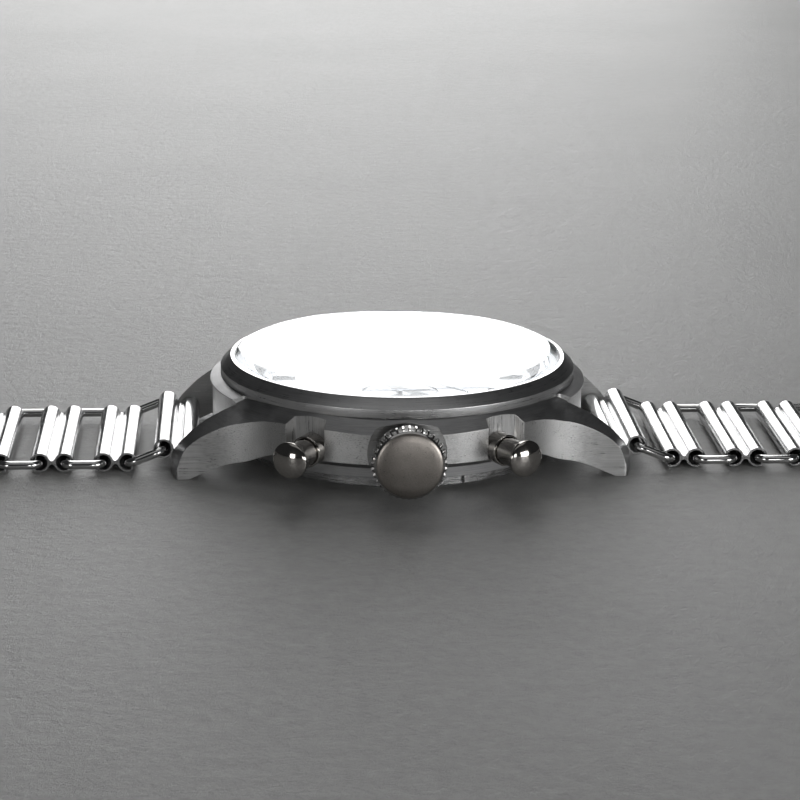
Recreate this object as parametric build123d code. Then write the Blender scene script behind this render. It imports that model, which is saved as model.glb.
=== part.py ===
"""Chronograph wristwatch on a ladder bracelet of rolled tubes and wire rings.

Millimetres. +X points to 12 o'clock, -Y to the crown at 3 o'clock and +Z out of the dial.
The origin is the case centre on the caseback's resting plane, where the flat links lie too.
"""
import os
from math import asin, atan2, cos, degrees, hypot, radians, sin

from build123d import *

# Case
FLANK_R = 20.5
FLANGE_R = 20.75
FLANK_BOTTOM_Z = 3.8
FLANK_TOP_Z = 7.23
SEAT_R = 19.5
SEAT_Z = 8.62
NECK_R = 18.0
NECK_TOP_Z = 9.5
CAVITY_R = 15.95
DIAL_SEAT_R = 16.4
DIAL_SEAT_Z = 7.5
RING_R = 18.2
RING_TOP_Z = 2.73
CASE_BOTTOM_Z = 1.65
THREAD_R = 16.6
THREAD_TOP_Z = 3.4
LUG_IN_Y = 10.0
LUG_OUT_Y = 12.5
LUG_TIP_X = 24.35
LUG_END_X = 24.9
LUG_ROOT_R = 14.0
LUG_TIP_R = 0.5
LUG_DEPTH = 7.0
BORE_START_R = 15.0
CASEBACK_GASKET_R = (17.6, 17.1)
CASEBACK_GASKET_HEIGHT = 0.45
BACK_FLAT_R = 15.9
BACK_RIM_R = 17.3
BACK_RIM_Z = 0.5
BACK_THREAD_R = 16.55
BACK_THREAD_TOP_Z = 3.2
BACK_BORE_R = 15.6
BACK_FLOOR_Z = 1.2
NOTCH_COUNT, NOTCH_START = 6, 18.0
NOTCH_HALF_WIDTH, NOTCH_BOTTOM_R = 1.1, 16.75

# Bezel, crystal and dial
BEZEL_R = 19.61
BEZEL_WALL_TOP_Z = 9.56
BEZEL_LIP_R = 18.49
BEZEL_TOP_Z = 10.68
BEZEL_BORE_R = 18.06
BEZEL_LEDGE_R = 16.45
BEZEL_LEDGE_Z = 9.95
BEZEL_FIT = 0.03
GASKET_THICKNESS = 0.1
CRYSTAL_R = 18.0
CRYSTAL_INNER_R = 16.9
CRYSTAL_BASE_Z = BEZEL_LEDGE_Z + GASKET_THICKNESS
CRYSTAL_SHOULDER_R = 16.6
CRYSTAL_SHOULDER_Z = 11.5
CRYSTAL_TOP_Z = 12.4
CRYSTAL_WALL = 1.15
OUTER_SHOULDER_HEIGHT = 0.78
INNER_SHOULDER_HEIGHT = 0.3
DIAL_Z = 7.9
DIAL_R = 16.35
REHAUT_R = 14.9
REHAUT_TOP_R = 15.9
REHAUT_TOP_Z = 9.45
REHAUT_FOOT = 0.1
SUBDIAL_Y = 6.3
SUBDIAL_R = 4.2
SUBDIAL_DEPTH = 0.1
MARKER_END_R = 13.9
MARKER_HEIGHT = 0.3
MARKER_CHAMFER = 0.1
CENTRE_HOLE_R = 1.0
SUBDIAL_HOLE_R = 0.35

# Hands: (low, high) in Z
HOUR_HAND_Z = (8.2, 8.4)
MINUTE_HAND_Z = (8.75, 8.9)
CHRONO_HAND_Z = (9.2, 9.3)
SMALL_HAND_Z = (8.05, 8.15)
HOUR_HEADING = 55.5
MINUTE_HEADING = -54.0
SMALL_SECONDS_HEADING = 35.0
HOUR_PIPE_R, HOUR_PIPE_BORE_R, HOUR_PIPE_LOW_Z = 0.95, 0.6, 7.2
CANNON_R, CANNON_BORE_R, CANNON_TOP_Z = 0.55, 0.27, 8.95
CHRONO_ARBOR_R = 0.22

# Crown and pushers, with distances along their own axes from the case centre
STEM_Z = 5.1
CROWN_R = 4.0
CROWN_FACE_R = 3.52
CROWN_FACE = [(3.52, 24.75), (3.4, 24.84), (3.13, 24.94), (2.5, 25.06), (1.2, 25.155), (0, 25.17)]
CROWN_BACK_AT = 23.3
CROWN_KNURL_LENGTH = 1.35
CROWN_CHAMFER = 0.25
CROWN_TAPER = 0.7
CROWN_SKIRT_R = 3.2
CROWN_SKIRT_BACK_AT = 20.4
CROWN_TEETH, CROWN_MODULE = 36, 0.21
SCALLOP_R = 4.15
SCALLOP_AT = 19.7
CROWN_TUBE_R = 1.5
CROWN_TUBE_AT = (16.0, 22.2)
STEM_R = 0.6
STEM_END_AT = 9.6
PUSHER_ANGLE = 29.5
PUSHER_Z = 4.85
PUSHER_CAP_R = 1.97
PUSHER_TIP_AT = 25.7
PUSHER_DOME_R = 3.6
PUSHER_CAP_AT = (24.35, 25.06)
PUSHER_NECK_R = 1.45
PUSHER_STEM_R = 0.6
PUSHER_STEP_AT = 20.75
PUSHER_END_AT = 16.9
COLLAR_R = 1.7
COLLAR_AT = (17.6, 18.2, 21.6)
COLLAR_CHAMFER = 0.1
COIL_R, COIL_WIRE_R, COIL_PITCH, COIL_COUNT = 1.05, 0.13, 0.3, 5
RECESS_AT = 19.8
RECESS_DRAFT = 1.2
RECESS_Z = (2.4, 9.9)
RUNNING_GAP = 0.05

# Movement
PLATE_R = 15.2
PLATE_Z = (4.4, 7.4)
BRIDGE_Z = (1.9, 2.4)
BRIDGE_HALF_WIDTH = 1.3
PILLAR_R = 1.0
SCREW_R = 0.45
PIVOT_TOP_Z = 5.2
PIVOT_HOLE_R = 0.3
CENTER_TEETH, CENTER_MODULE = 64, 0.12
THIRD_TEETH, THIRD_MODULE = 60, 0.11
FOURTH_TEETH, FOURTH_MODULE = 60, 0.10
BARREL_TEETH, BARREL_MODULE = 72, 0.14
CROWN_WHEEL_TEETH, RATCHET_TEETH, WINDING_TEETH, WINDING_MODULE = 64, 25, 14, 0.15
TRAIN_PINION, ESCAPE_PINION, CENTER_PINION = 8, 6, 12
ESCAPE_TEETH, ESCAPE_TIP_R, ESCAPE_ROOT_R = 20, 2.15, 1.72
COLUMN_TEETH, COLUMN_MODULE, COLUMN_COUNT = 18, 0.17, 6
CENTER_WHEEL_Z, CENTER_PINION_Z = (3.7, 3.9), (2.55, 3.5)
THIRD_WHEEL_Z, THIRD_PINION_Z = (4.08, 4.24), (3.62, 4.08)
FOURTH_WHEEL_Z, FOURTH_PINION_Z = (2.6, 2.76), (3.9, 4.3)
ESCAPE_WHEEL_Z, ESCAPE_PINION_Z = (3.28, 3.42), (2.5, 2.9)
PALLET_Z = (3.26, 3.44)
BALANCE_RIM_Z, BALANCE_ROLLER_Z = (2.65, 3.0), (3.52, 3.7)
BALANCE_RIM_R = (3.7, 3.25)
BARREL_GEAR_Z, BARREL_DRUM_Z, BARREL_DRUM_R = (2.6, 2.8), (2.6, 3.4), 4.6
WINDING_Z = (3.72, 3.95)
COLUMN_GEAR_Z, COLUMN_TOP_Z = (2.6, 2.85), 3.9
WINDING_PINION_AT = (13.1, 14.4)
FOURTH_AT = (0, SUBDIAL_Y)
THIRD_AT = (2.5, 3.52)
ESCAPE_AT = (-2.97, 7.75)
PALLET_AT = (-5.2, 7.0)
BALANCE_AT = (-8.8, 5.8)
BARREL_AT = (4.9, -3.25)
CROWN_WHEEL_AT = (1.6, -9.2)
COLUMN_AT = (10.5, -7.8)
TRAIN_PILLARS = [(6.6, 6.6), (-6.3, 11.0)]
BARREL_PILLAR = (12.6, 0.6)
COCK_PILLAR = (-13.2, 1.8)

# Bracelet
TUBE_R = 1.08
TUBE_BORE_R = 0.80
TUBE_SPACING = 2.61
RING_SPACING = 4.21
WIRE_R = 0.47
LINK_LENGTH = 19.0
END_LINK_LENGTH = 19.4
RING_HALF_LENGTH = 10.3
RING_CORNER_R = 1.2
SPRING_BAR_X = 23.2
SPRING_BAR_Z = 1.98
SPRING_BAR_R = 0.65
BAR_PIVOT_R = 0.40
BAR_BODY_Y, BAR_PIVOT_Y, BAR_HOLE_Y = 9.9, 11.0, 11.2
END_LINK_TILT = 15.0
FIRST_TUBE_X = 29.655
LINK_PITCH = TUBE_SPACING + RING_SPACING
BAR_AXIS = (SPRING_BAR_X, SPRING_BAR_Z)
RAISED_AXIS = (
    SPRING_BAR_X + TUBE_SPACING * cos(radians(END_LINK_TILT)),
    SPRING_BAR_Z + TUBE_SPACING * sin(radians(END_LINK_TILT)),
)
CLASP_INDEX = 4
CLASP_PLATE_LENGTH = 15.0
CLASP_HALF_WIDTH = 9.5
CLASP_PLATE_Z = (0.75, 1.45)
CLASP_EAR_TOP_Z = 2.9
CLASP_EAR_Y = 8.3
CLASP_EAR_LENGTH = 2.4
CLASP_PIN_R = 0.4
CLASP_PIN_Z = 2.1
CLASP_PIN_FROM_END = 1.2
COVER_HALF_WIDTH = 8.0
COVER_Z = (1.9, 2.5)
COVER_START = 1.0
HOOK_HALF_WIDTH = 2.5
SLOT_X, SLOT_HALF_WIDTH = (4.0, 9.0), 3.0


def save(name, *solids):
    part = solids[0] if len(solids) == 1 else Compound(children=list(solids))
    export_step(part, f"parts/{name}.step")


def cylinder(radius, low, high, at=(0, 0)):
    upward = (Align.CENTER, Align.CENTER, Align.MIN)
    return Pos(at[0], at[1], low) * Cylinder(radius, high - low, align=upward)


def tube(radius, bore, low, high, at=(0, 0)):
    return cylinder(radius, low, high, at) - cylinder(bore, low - 1, high + 1, at)


def box(x, y, z):
    size = (x[1] - x[0], y[1] - y[0], z[1] - z[0])
    return Pos(x[0], y[0], z[0]) * Box(*size, align=(Align.MIN, Align.MIN, Align.MIN))


def turned(points):
    """A solid of revolution about +Z from an outline of (radius, height) points."""
    outline = Polyline([(r, 0, z) for r, z in points], close=True)
    return revolve(make_face(outline), axis=Axis.Z)


def four_ways(solid):
    """The solid and its mirror images across both vertical centre planes."""
    pair = [solid, mirror(solid, about=Plane.YZ)]
    return pair + [mirror(s, about=Plane.XZ) for s in pair]


def radial(solid, angle, height):
    """Lays a solid built along +Z on the radial line at this angle from -Y, at this height."""
    return Pos(0, 0, height) * Rot(0, 0, angle) * Rot(90, 0, 0) * solid


# ---------------------------------------------------------------- case

# Stations along the sloping top of one quarter of the case, from the crown to a lug tip.
# Each is the line from the slope's inner edge to its outer edge: (x, y, z), (x, y, z).
TOP_SLOPE = [
    ((-0.5, -SEAT_R, SEAT_Z), (-0.5, -FLANK_R, FLANK_TOP_Z)),
    ((8.2, -17.7, SEAT_Z), (8.7, -18.56, FLANK_TOP_Z)),
    ((12.1, -15.3, SEAT_Z), (12.9, -15.93, 7.14)),
    ((13.9, -13.68, SEAT_Z), (14.6, -14.68, 7.02)),
    ((15.7, -11.5, 8.45), (16.3, -13.75, 6.72)),
    ((16.9, -9.9, 8.2), (17.4, -13.31, 6.42)),
    ((18.4, -9.9, 7.5), (18.6, -12.94, 6.12)),
    ((20.5, -9.9, 6.4), (20.7, -12.57, 5.22)),
    ((22.3, -9.9, 5.15), (22.2, -12.5, 4.35)),
    ((23.5, -9.9, 4.0), (23.3, -12.5, 3.35)),
    ((24.4, -9.9, 3.0), (23.85, -12.5, 2.3)),
    ((25.0, -9.9, 1.7), (24.3, -12.5, 0.9)),
    ((25.3, -9.9, -0.5), (24.6, -12.5, -0.6)),
]
SLOPE_OVERRUN = 1.5
LUG_UNDERSIDE = [
    (12.0, 3.8), (13.8, 3.5), (15.1, 3.05), (16.4, 2.45), (18.6, 1.85), (20.7, 1.05), (22.9, 0.05),
]


def top_slope_cutter():
    """Everything above the sloping top of one quarter of the case."""
    inner = [Vector(*a) for a, _ in TOP_SLOPE]
    outer = [Vector(*a) + (Vector(*b) - Vector(*a)) * SLOPE_OVERRUN for a, b in TOP_SLOPE]
    steps = [i / (len(inner) - 1) for i in range(len(inner))]
    surface = Face.make_surface_from_curves(
        Edge.make_spline(inner, parameters=steps),
        Edge.make_spline(outer, parameters=steps),
    )
    return Solid.extrude(surface, Vector(0, 0, 12))


def lug_blank():
    """One lug's side profile, as deep in Y as the case flank, before its top is sloped."""
    underside = Spline([(x, 0, z) for x, z in LUG_UNDERSIDE])
    end_x, end_z = LUG_UNDERSIDE[-1]
    start_x, start_z = LUG_UNDERSIDE[0]
    rest = Polyline(
        (end_x, 0, end_z), (end_x + 0.1, 0, 0), (LUG_END_X, 0, 0), (LUG_END_X, 0, SEAT_Z - 0.1),
        (start_x, 0, SEAT_Z - 0.1), (start_x, 0, start_z),
    )
    profile = make_face(underside + rest)
    blank = extrude(profile, amount=LUG_DEPTH, dir=(0, -1, 0))
    return Pos(0, -LUG_IN_Y, 0) * blank


def plan_prism():
    """The case seen from above: the round flank with the lugs' straight sides blended in."""
    quarter = [(LUG_TIP_X, LUG_OUT_Y), (LUG_END_X, LUG_IN_Y)]
    right = quarter + [(x, -y) for x, y in reversed(quarter)]
    left = [(-x, -y) for x, y in right]
    plan = Circle(FLANK_R) + make_face(Polyline(right + left, close=True))
    roots = [v for v in plan.vertices() if abs(v.X) < LUG_TIP_X - 1]
    plan = fillet(roots, LUG_ROOT_R)
    tips = [v for v in plan.vertices() if abs(abs(v.X) - LUG_TIP_X) < 0.01]
    plan = fillet(tips, LUG_TIP_R)
    return extrude(plan, amount=SEAT_Z)


def pusher_recess(side):
    """The flat-backed bay in the flank round one pusher, opening outwards."""
    mouth = RECESS_AT + RECESS_DRAFT
    across = [(-1.55, RECESS_AT), (2.13, RECESS_AT), (4.5, mouth), (-1.7, mouth)]
    outline = Polyline([(side * lateral, -out) for lateral, out in across], close=True)
    bay = extrude(make_face(outline), amount=RECESS_Z[1] - RECESS_Z[0])
    return Pos(0, 0, RECESS_Z[0]) * Rot(0, 0, side * PUSHER_ANGLE) * bay


def case_middle():
    band = turned([
        (BORE_START_R, CASE_BOTTOM_Z), (RING_R, CASE_BOTTOM_Z), (RING_R, RING_TOP_Z),
        (FLANK_R, FLANK_BOTTOM_Z),
        (FLANK_R, 7.95), (FLANGE_R, 8.0), (FLANGE_R, 8.15), (SEAT_R, SEAT_Z), (NECK_R, SEAT_Z),
        (NECK_R, NECK_TOP_Z), (BORE_START_R, NECK_TOP_Z),
    ])
    lug = lug_blank() & plan_prism()
    body = band
    for one in four_ways(lug):
        body += one
    cutter = top_slope_cutter()
    for one in four_ways(cutter):
        body -= one
    body -= turned([
        (0, 0), (THREAD_R, 0), (THREAD_R, THREAD_TOP_Z), (CAVITY_R, THREAD_TOP_Z), (CAVITY_R, DIAL_SEAT_Z),
        (DIAL_SEAT_R, DIAL_SEAT_Z), (DIAL_SEAT_R, 13), (0, 13),
    ])
    groove_top = CASE_BOTTOM_Z + CASEBACK_GASKET_HEIGHT + RUNNING_GAP
    groove_r = (CASEBACK_GASKET_R[0] + RUNNING_GAP, CASEBACK_GASKET_R[1] - RUNNING_GAP)
    body -= tube(*groove_r, CASE_BOTTOM_Z - 1, groove_top)
    for side in (1, -1):
        body -= pusher_recess(side)
        body -= radial(cylinder(COLLAR_R, COLLAR_AT[0], COLLAR_AT[2] + 1), side * PUSHER_ANGLE, PUSHER_Z)
        stem_hole = cylinder(PUSHER_STEM_R + 0.15, BORE_START_R - 1, COLLAR_AT[1])
        body -= radial(stem_hole, side * PUSHER_ANGLE, PUSHER_Z)
    body -= radial(cylinder(SCALLOP_R, SCALLOP_AT, CROWN_BACK_AT), 0, STEM_Z)
    body -= radial(cylinder(CROWN_TUBE_R, BORE_START_R - 1, FLANK_R), 0, STEM_Z)
    for x in (SPRING_BAR_X, -SPRING_BAR_X):
        hole = cylinder(BAR_PIVOT_R + RUNNING_GAP, -BAR_HOLE_Y, BAR_HOLE_Y)
        body -= Pos(x, 0, SPRING_BAR_Z) * Rot(90, 0, 0) * hole
    return body


def bezel():
    neck_r, neck_top = NECK_R + BEZEL_FIT, NECK_TOP_Z + BEZEL_FIT
    return turned([
        (neck_r, SEAT_Z), (BEZEL_R, SEAT_Z), (BEZEL_R, BEZEL_WALL_TOP_Z), (BEZEL_LIP_R, BEZEL_TOP_Z - 0.04),
        (BEZEL_LIP_R - 0.06, BEZEL_TOP_Z), (BEZEL_BORE_R, BEZEL_TOP_Z), (BEZEL_BORE_R, BEZEL_LEDGE_Z),
        (BEZEL_LEDGE_R, BEZEL_LEDGE_Z), (BEZEL_LEDGE_R, neck_top), (neck_r, neck_top),
    ])


def dome(wall_r, base_z, shoulder_r, shoulder_z, shoulder_height, top_z):
    """A box dome: a straight wall, a rounded shoulder and a shallow spherical crown."""
    rise = top_z - shoulder_z
    sphere_r = (shoulder_r ** 2 + rise ** 2) / (2 * rise)
    slope = asin(shoulder_r / sphere_r)
    halfway = (sphere_r * sin(slope / 2), 0, top_z - sphere_r * (1 - cos(slope / 2)))
    wall_top_z = shoulder_z - shoulder_height
    wall = Line((wall_r, 0, base_z), (wall_r, 0, wall_top_z))
    shoulder = Spline((wall_r, 0, wall_top_z), (shoulder_r, 0, shoulder_z),
                      tangents=[(0, 0, 1), (-cos(slope), 0, sin(slope))])
    crown_arc = ThreePointArc((shoulder_r, 0, shoulder_z), halfway, (0, 0, top_z))
    closing = Polyline((0, 0, top_z), (0, 0, base_z), (wall_r, 0, base_z))
    return revolve(make_face(wall + shoulder + crown_arc + closing), axis=Axis.Z)


def crystal():
    outer = dome(CRYSTAL_R, CRYSTAL_BASE_Z, CRYSTAL_SHOULDER_R, CRYSTAL_SHOULDER_Z, OUTER_SHOULDER_HEIGHT,
                 CRYSTAL_TOP_Z)
    inner = dome(CRYSTAL_INNER_R, CRYSTAL_BASE_Z - 1, CRYSTAL_SHOULDER_R - CRYSTAL_WALL,
                 CRYSTAL_SHOULDER_Z - CRYSTAL_WALL, INNER_SHOULDER_HEIGHT, CRYSTAL_TOP_Z - CRYSTAL_WALL)
    return outer - inner


def caseback():
    back = turned([
        (0, 0), (BACK_FLAT_R, 0), (BACK_RIM_R, BACK_RIM_Z), (BACK_RIM_R, CASE_BOTTOM_Z),
        (BACK_THREAD_R, CASE_BOTTOM_Z), (BACK_THREAD_R, BACK_THREAD_TOP_Z), (BACK_BORE_R, BACK_THREAD_TOP_Z),
        (BACK_BORE_R, BACK_FLOOR_Z), (0, BACK_FLOOR_Z),
    ])
    for index in range(NOTCH_COUNT):
        across = (-NOTCH_HALF_WIDTH, NOTCH_HALF_WIDTH)
        notch = box(across, (-RING_R, -NOTCH_BOTTOM_R), (-1, CASE_BOTTOM_Z + 1))
        back -= Rot(0, 0, NOTCH_START + 360 / NOTCH_COUNT * index) * notch
    return back


def rehaut():
    return turned([
        (REHAUT_R, DIAL_Z), (DIAL_R, DIAL_Z), (DIAL_R, REHAUT_TOP_Z), (REHAUT_TOP_R, REHAUT_TOP_Z),
        (REHAUT_R, DIAL_Z + REHAUT_FOOT),
    ])


# ---------------------------------------------------------------- dial and hands

def dial():
    plate = cylinder(DIAL_R, DIAL_SEAT_Z, DIAL_Z)
    for y in (SUBDIAL_Y, -SUBDIAL_Y):
        plate -= cylinder(SUBDIAL_R, DIAL_Z - SUBDIAL_DEPTH, DIAL_Z + 1, (0, y))
        plate -= cylinder(SUBDIAL_HOLE_R, DIAL_SEAT_Z - 1, DIAL_Z, (0, y))
    return plate - cylinder(CENTRE_HOLE_R, DIAL_SEAT_Z - 1, DIAL_Z + 1)


def dial_markers():
    """Twelve applied bars, wider at 12 o'clock and shorter beside the two small dials."""
    markers = []
    for hour in range(12):
        width = 1.3 if hour == 0 else 0.7
        length = 1.6 if hour in (3, 9) else 2.6
        bar = Box(length, width, MARKER_HEIGHT)
        bar = Pos(MARKER_END_R - length / 2, 0, DIAL_Z + MARKER_HEIGHT / 2) * bar
        bar = chamfer(bar.edges().group_by(Axis.Z)[-1], MARKER_CHAMFER)
        markers.append(Rot(0, 0, -30 * hour) * bar)
    return markers


def hand(length, tail, width, boss_r, bore_r, level, aim, at=(0, 0)):
    """A tapered hand at this Z level, aimed in degrees from +X, with a boss round its arbor."""
    half = width / 2
    outline = Polyline([
        (-tail, -half * 0.8), (length * 0.6, -half), (length, 0), (length * 0.6, half), (-tail, half * 0.8),
    ], close=True)
    thickness = level[1] - level[0]
    blade = extrude(make_face(outline), amount=thickness)
    solid = blade + cylinder(boss_r, 0, thickness) - cylinder(bore_r, -1, thickness + 1)
    return Pos(at[0], at[1], level[0]) * Rot(0, 0, aim) * solid


def hour_hand():
    blade = hand(8.6, 2.0, 1.5, 1.1, HOUR_PIPE_R - 0.13, HOUR_HAND_Z, HOUR_HEADING)
    return blade + tube(HOUR_PIPE_R, HOUR_PIPE_BORE_R, HOUR_PIPE_LOW_Z, HOUR_HAND_Z[1])


def minute_hand():
    return hand(13.0, 2.6, 1.1, 0.9, CANNON_R, MINUTE_HAND_Z, MINUTE_HEADING)


def chrono_seconds_hand():
    blade = hand(14.2, 4.0, 0.45, 0.6, CHRONO_ARBOR_R - 0.07, CHRONO_HAND_Z, 0)
    return blade + cylinder(CHRONO_ARBOR_R, BRIDGE_Z[0] - 0.2, CHRONO_HAND_Z[1] + 0.1)


def small_hand(bore_r, aim, at):
    return hand(3.3, 1.0, 0.4, 0.4, bore_r, SMALL_HAND_Z, aim, at)


def minute_counter_hand():
    at = (0, -SUBDIAL_Y)
    return small_hand(0.1, 0, at) + cylinder(CHRONO_ARBOR_R, PLATE_Z[1] - 1, SMALL_HAND_Z[1], at)


# ---------------------------------------------------------------- gears

def gear_face(teeth, module, turn=0.0):
    """A toothed outline with a tooth centred at the angle turn, in degrees."""
    pitch_r = teeth * module / 2
    tip_r, root_r = pitch_r + 0.85 * module, pitch_r - 1.15 * module
    step = 360 / teeth
    corners = []
    for index in range(teeth):
        middle = turn + index * step
        for offset, radius in ((-0.30, root_r), (-0.12, tip_r), (0.12, tip_r), (0.30, root_r)):
            angle = radians(middle + offset * step)
            corners.append((radius * cos(angle), radius * sin(angle)))
    return make_face(Polyline(corners, close=True))


def gear(teeth, module, level, at, turn=0.0):
    solid = extrude(gear_face(teeth, module, turn), amount=level[1] - level[0])
    return Pos(at[0], at[1], level[0]) * solid


def heading(start, end):
    return degrees(atan2(end[1] - start[1], end[0] - start[0]))


def meshing_turn(teeth, at, other):
    """The turn that puts a gap of this gear on the line to the other gear's centre."""
    return heading(at, other) + 180 / teeth


def crossed(solid, radius, at, holes=5):
    """Opens round windows in a wheel, between its hub and its rim."""
    for index in range(holes):
        angle = radians(index * 360 / holes)
        spot = (at[0] + radius * 0.56 * cos(angle), at[1] + radius * 0.56 * sin(angle))
        solid -= cylinder(radius * 0.24, 0, PLATE_Z[1], spot)
    return solid


def arbor(radius, at, top=PIVOT_TOP_Z):
    """An arbor from its bridge up into the main plate, or on through the dial."""
    return cylinder(radius, BRIDGE_Z[0] + 0.1, top, at)


# ---------------------------------------------------------------- movement

def main_plate():
    plate = cylinder(PLATE_R, *PLATE_Z)
    plate -= cylinder(CENTRE_HOLE_R, PLATE_Z[0] - 1, PLATE_Z[1] + 1)
    plate -= cylinder(SUBDIAL_HOLE_R, PLATE_Z[0] - 1, PLATE_Z[1] + 1, FOURTH_AT)
    plate -= cylinder(SUBDIAL_HOLE_R, PLATE_Z[1] - 1.4, PLATE_Z[1] + 1, (0, -SUBDIAL_Y))
    plate -= radial(cylinder(STEM_R + RUNNING_GAP, STEM_END_AT - 0.4, PLATE_R + 1), 0, STEM_Z)
    pocket_y = (-WINDING_PINION_AT[1] - 0.2, -WINDING_PINION_AT[0] + 0.2)
    plate -= box((-1.3, 1.3), pocket_y, (PLATE_Z[0] - 0.4, STEM_Z + 1.3))
    for spot in (THIRD_AT, ESCAPE_AT, BALANCE_AT, BARREL_AT, CROWN_WHEEL_AT, COLUMN_AT, PALLET_AT):
        plate -= cylinder(PIVOT_HOLE_R, PLATE_Z[0] - 1, PIVOT_TOP_Z + 0.2, spot)
    return plate


def bridge(spots, pillars, pivots):
    """A flat bridge over the given spots, on pillars from the main plate, with pivot holes."""
    solid = cylinder(BRIDGE_HALF_WIDTH, *BRIDGE_Z, spots[-1])
    for start, end in zip(spots, spots[1:]):
        reach = hypot(end[0] - start[0], end[1] - start[1])
        arm = box((0, reach), (-BRIDGE_HALF_WIDTH, BRIDGE_HALF_WIDTH), BRIDGE_Z)
        solid += Pos(*start, 0) * Rot(0, 0, heading(start, end)) * arm
        solid += cylinder(BRIDGE_HALF_WIDTH, *BRIDGE_Z, start)
    for spot in pillars:
        solid += cylinder(PILLAR_R, BRIDGE_Z[1], PLATE_Z[0], spot)
        solid -= cylinder(SCREW_R, BRIDGE_Z[0] - 1, BRIDGE_Z[1] + 1, spot)
    for spot, bore_r in pivots:
        solid -= cylinder(bore_r, BRIDGE_Z[0] - 1, BRIDGE_Z[1] + 0.6, spot)
    return solid


def train_bridge():
    spots = [TRAIN_PILLARS[0], THIRD_AT, FOURTH_AT, ESCAPE_AT, PALLET_AT, TRAIN_PILLARS[1]]
    pivots = [(THIRD_AT, 0.25), (FOURTH_AT, 0.25), (ESCAPE_AT, 0.2), (PALLET_AT, 0.2)]
    return bridge(spots, TRAIN_PILLARS, pivots)


def barrel_bridge():
    pivots = [(BARREL_AT, 0.45), ((0, 0), CANNON_R + RUNNING_GAP), (CROWN_WHEEL_AT, 0.3)]
    return bridge([BARREL_PILLAR, BARREL_AT, (0, 0), CROWN_WHEEL_AT], [BARREL_PILLAR], pivots)


def balance_cock():
    return bridge([COCK_PILLAR, BALANCE_AT], [COCK_PILLAR], [(BALANCE_AT, 0.2)])


def center_wheel():
    wheel = crossed(gear(CENTER_TEETH, CENTER_MODULE, CENTER_WHEEL_Z, (0, 0)), 3.84, (0, 0))
    turn = meshing_turn(CENTER_PINION, (0, 0), BARREL_AT)
    wheel += gear(CENTER_PINION, BARREL_MODULE, CENTER_PINION_Z, (0, 0), turn)
    return wheel + arbor(CANNON_R, (0, 0), CANNON_TOP_Z) - cylinder(CANNON_BORE_R, 1, CANNON_TOP_Z + 1)


def third_wheel():
    turn = heading(THIRD_AT, FOURTH_AT)
    wheel = crossed(gear(THIRD_TEETH, THIRD_MODULE, THIRD_WHEEL_Z, THIRD_AT, turn), 3.3, THIRD_AT)
    turn = meshing_turn(TRAIN_PINION, THIRD_AT, (0, 0))
    return wheel + gear(TRAIN_PINION, CENTER_MODULE, THIRD_PINION_Z, THIRD_AT, turn) + arbor(0.2, THIRD_AT)


def fourth_wheel():
    turn = heading(FOURTH_AT, ESCAPE_AT)
    wheel = crossed(gear(FOURTH_TEETH, FOURTH_MODULE, FOURTH_WHEEL_Z, FOURTH_AT, turn), 3.0, FOURTH_AT)
    turn = meshing_turn(TRAIN_PINION, FOURTH_AT, THIRD_AT)
    wheel += gear(TRAIN_PINION, THIRD_MODULE, FOURTH_PINION_Z, FOURTH_AT, turn)
    return wheel + arbor(0.2, FOURTH_AT, SMALL_HAND_Z[1])


def escape_wheel():
    corners = []
    for index in range(ESCAPE_TEETH):
        shape = ((0.0, ESCAPE_ROOT_R), (0.55, ESCAPE_TIP_R), (0.7, ESCAPE_TIP_R), (0.6, ESCAPE_ROOT_R))
        for offset, radius in shape:
            angle = radians((index + offset) * 360 / ESCAPE_TEETH)
            corners.append((radius * cos(angle), radius * sin(angle)))
    blank = extrude(make_face(Polyline(corners, close=True)), amount=ESCAPE_WHEEL_Z[1] - ESCAPE_WHEEL_Z[0])
    wheel = crossed(Pos(*ESCAPE_AT, ESCAPE_WHEEL_Z[0]) * blank, ESCAPE_ROOT_R, ESCAPE_AT, 4)
    turn = meshing_turn(ESCAPE_PINION, ESCAPE_AT, FOURTH_AT)
    wheel += gear(ESCAPE_PINION, FOURTH_MODULE, ESCAPE_PINION_Z, ESCAPE_AT, turn)
    return wheel + arbor(0.15, ESCAPE_AT)


def pallet_fork():
    """The lever, with its two stones just outside the escape wheel's tips."""
    lever = box((0, 2.6), (-0.14, 0.14), PALLET_Z) + box((2.5, 2.9), (-0.34, 0.34), PALLET_Z)
    lever -= box((2.6, 3.2), (-0.16, 0.16), (PALLET_Z[0] - 1, PALLET_Z[1] + 1))
    arms = box((-0.35, 0.1), (-1.5, 1.5), PALLET_Z)
    aim = heading(PALLET_AT, BALANCE_AT)
    solid = Pos(*PALLET_AT, 0) * Rot(0, 0, aim) * (lever + arms + cylinder(0.4, *PALLET_Z))
    solid -= cylinder(ESCAPE_TIP_R + 0.1, PALLET_Z[0] - 1, PALLET_Z[1] + 1, ESCAPE_AT)
    return solid + arbor(0.13, PALLET_AT)


def balance_wheel():
    rim = tube(*BALANCE_RIM_R, *BALANCE_RIM_Z)
    spoke_z = (BALANCE_RIM_Z[0] + 0.05, BALANCE_RIM_Z[1] - 0.05)
    spokes = box((-3.4, 3.4), (-0.25, 0.25), spoke_z)
    roller = cylinder(0.75, *BALANCE_ROLLER_Z) + cylinder(0.1, 3.2, BALANCE_ROLLER_Z[1], (0.6, 0))
    wheel = rim + spokes + roller + arbor(0.14, (0, 0))
    return Pos(*BALANCE_AT, 0) * Rot(0, 0, heading(BALANCE_AT, PALLET_AT)) * wheel


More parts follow.
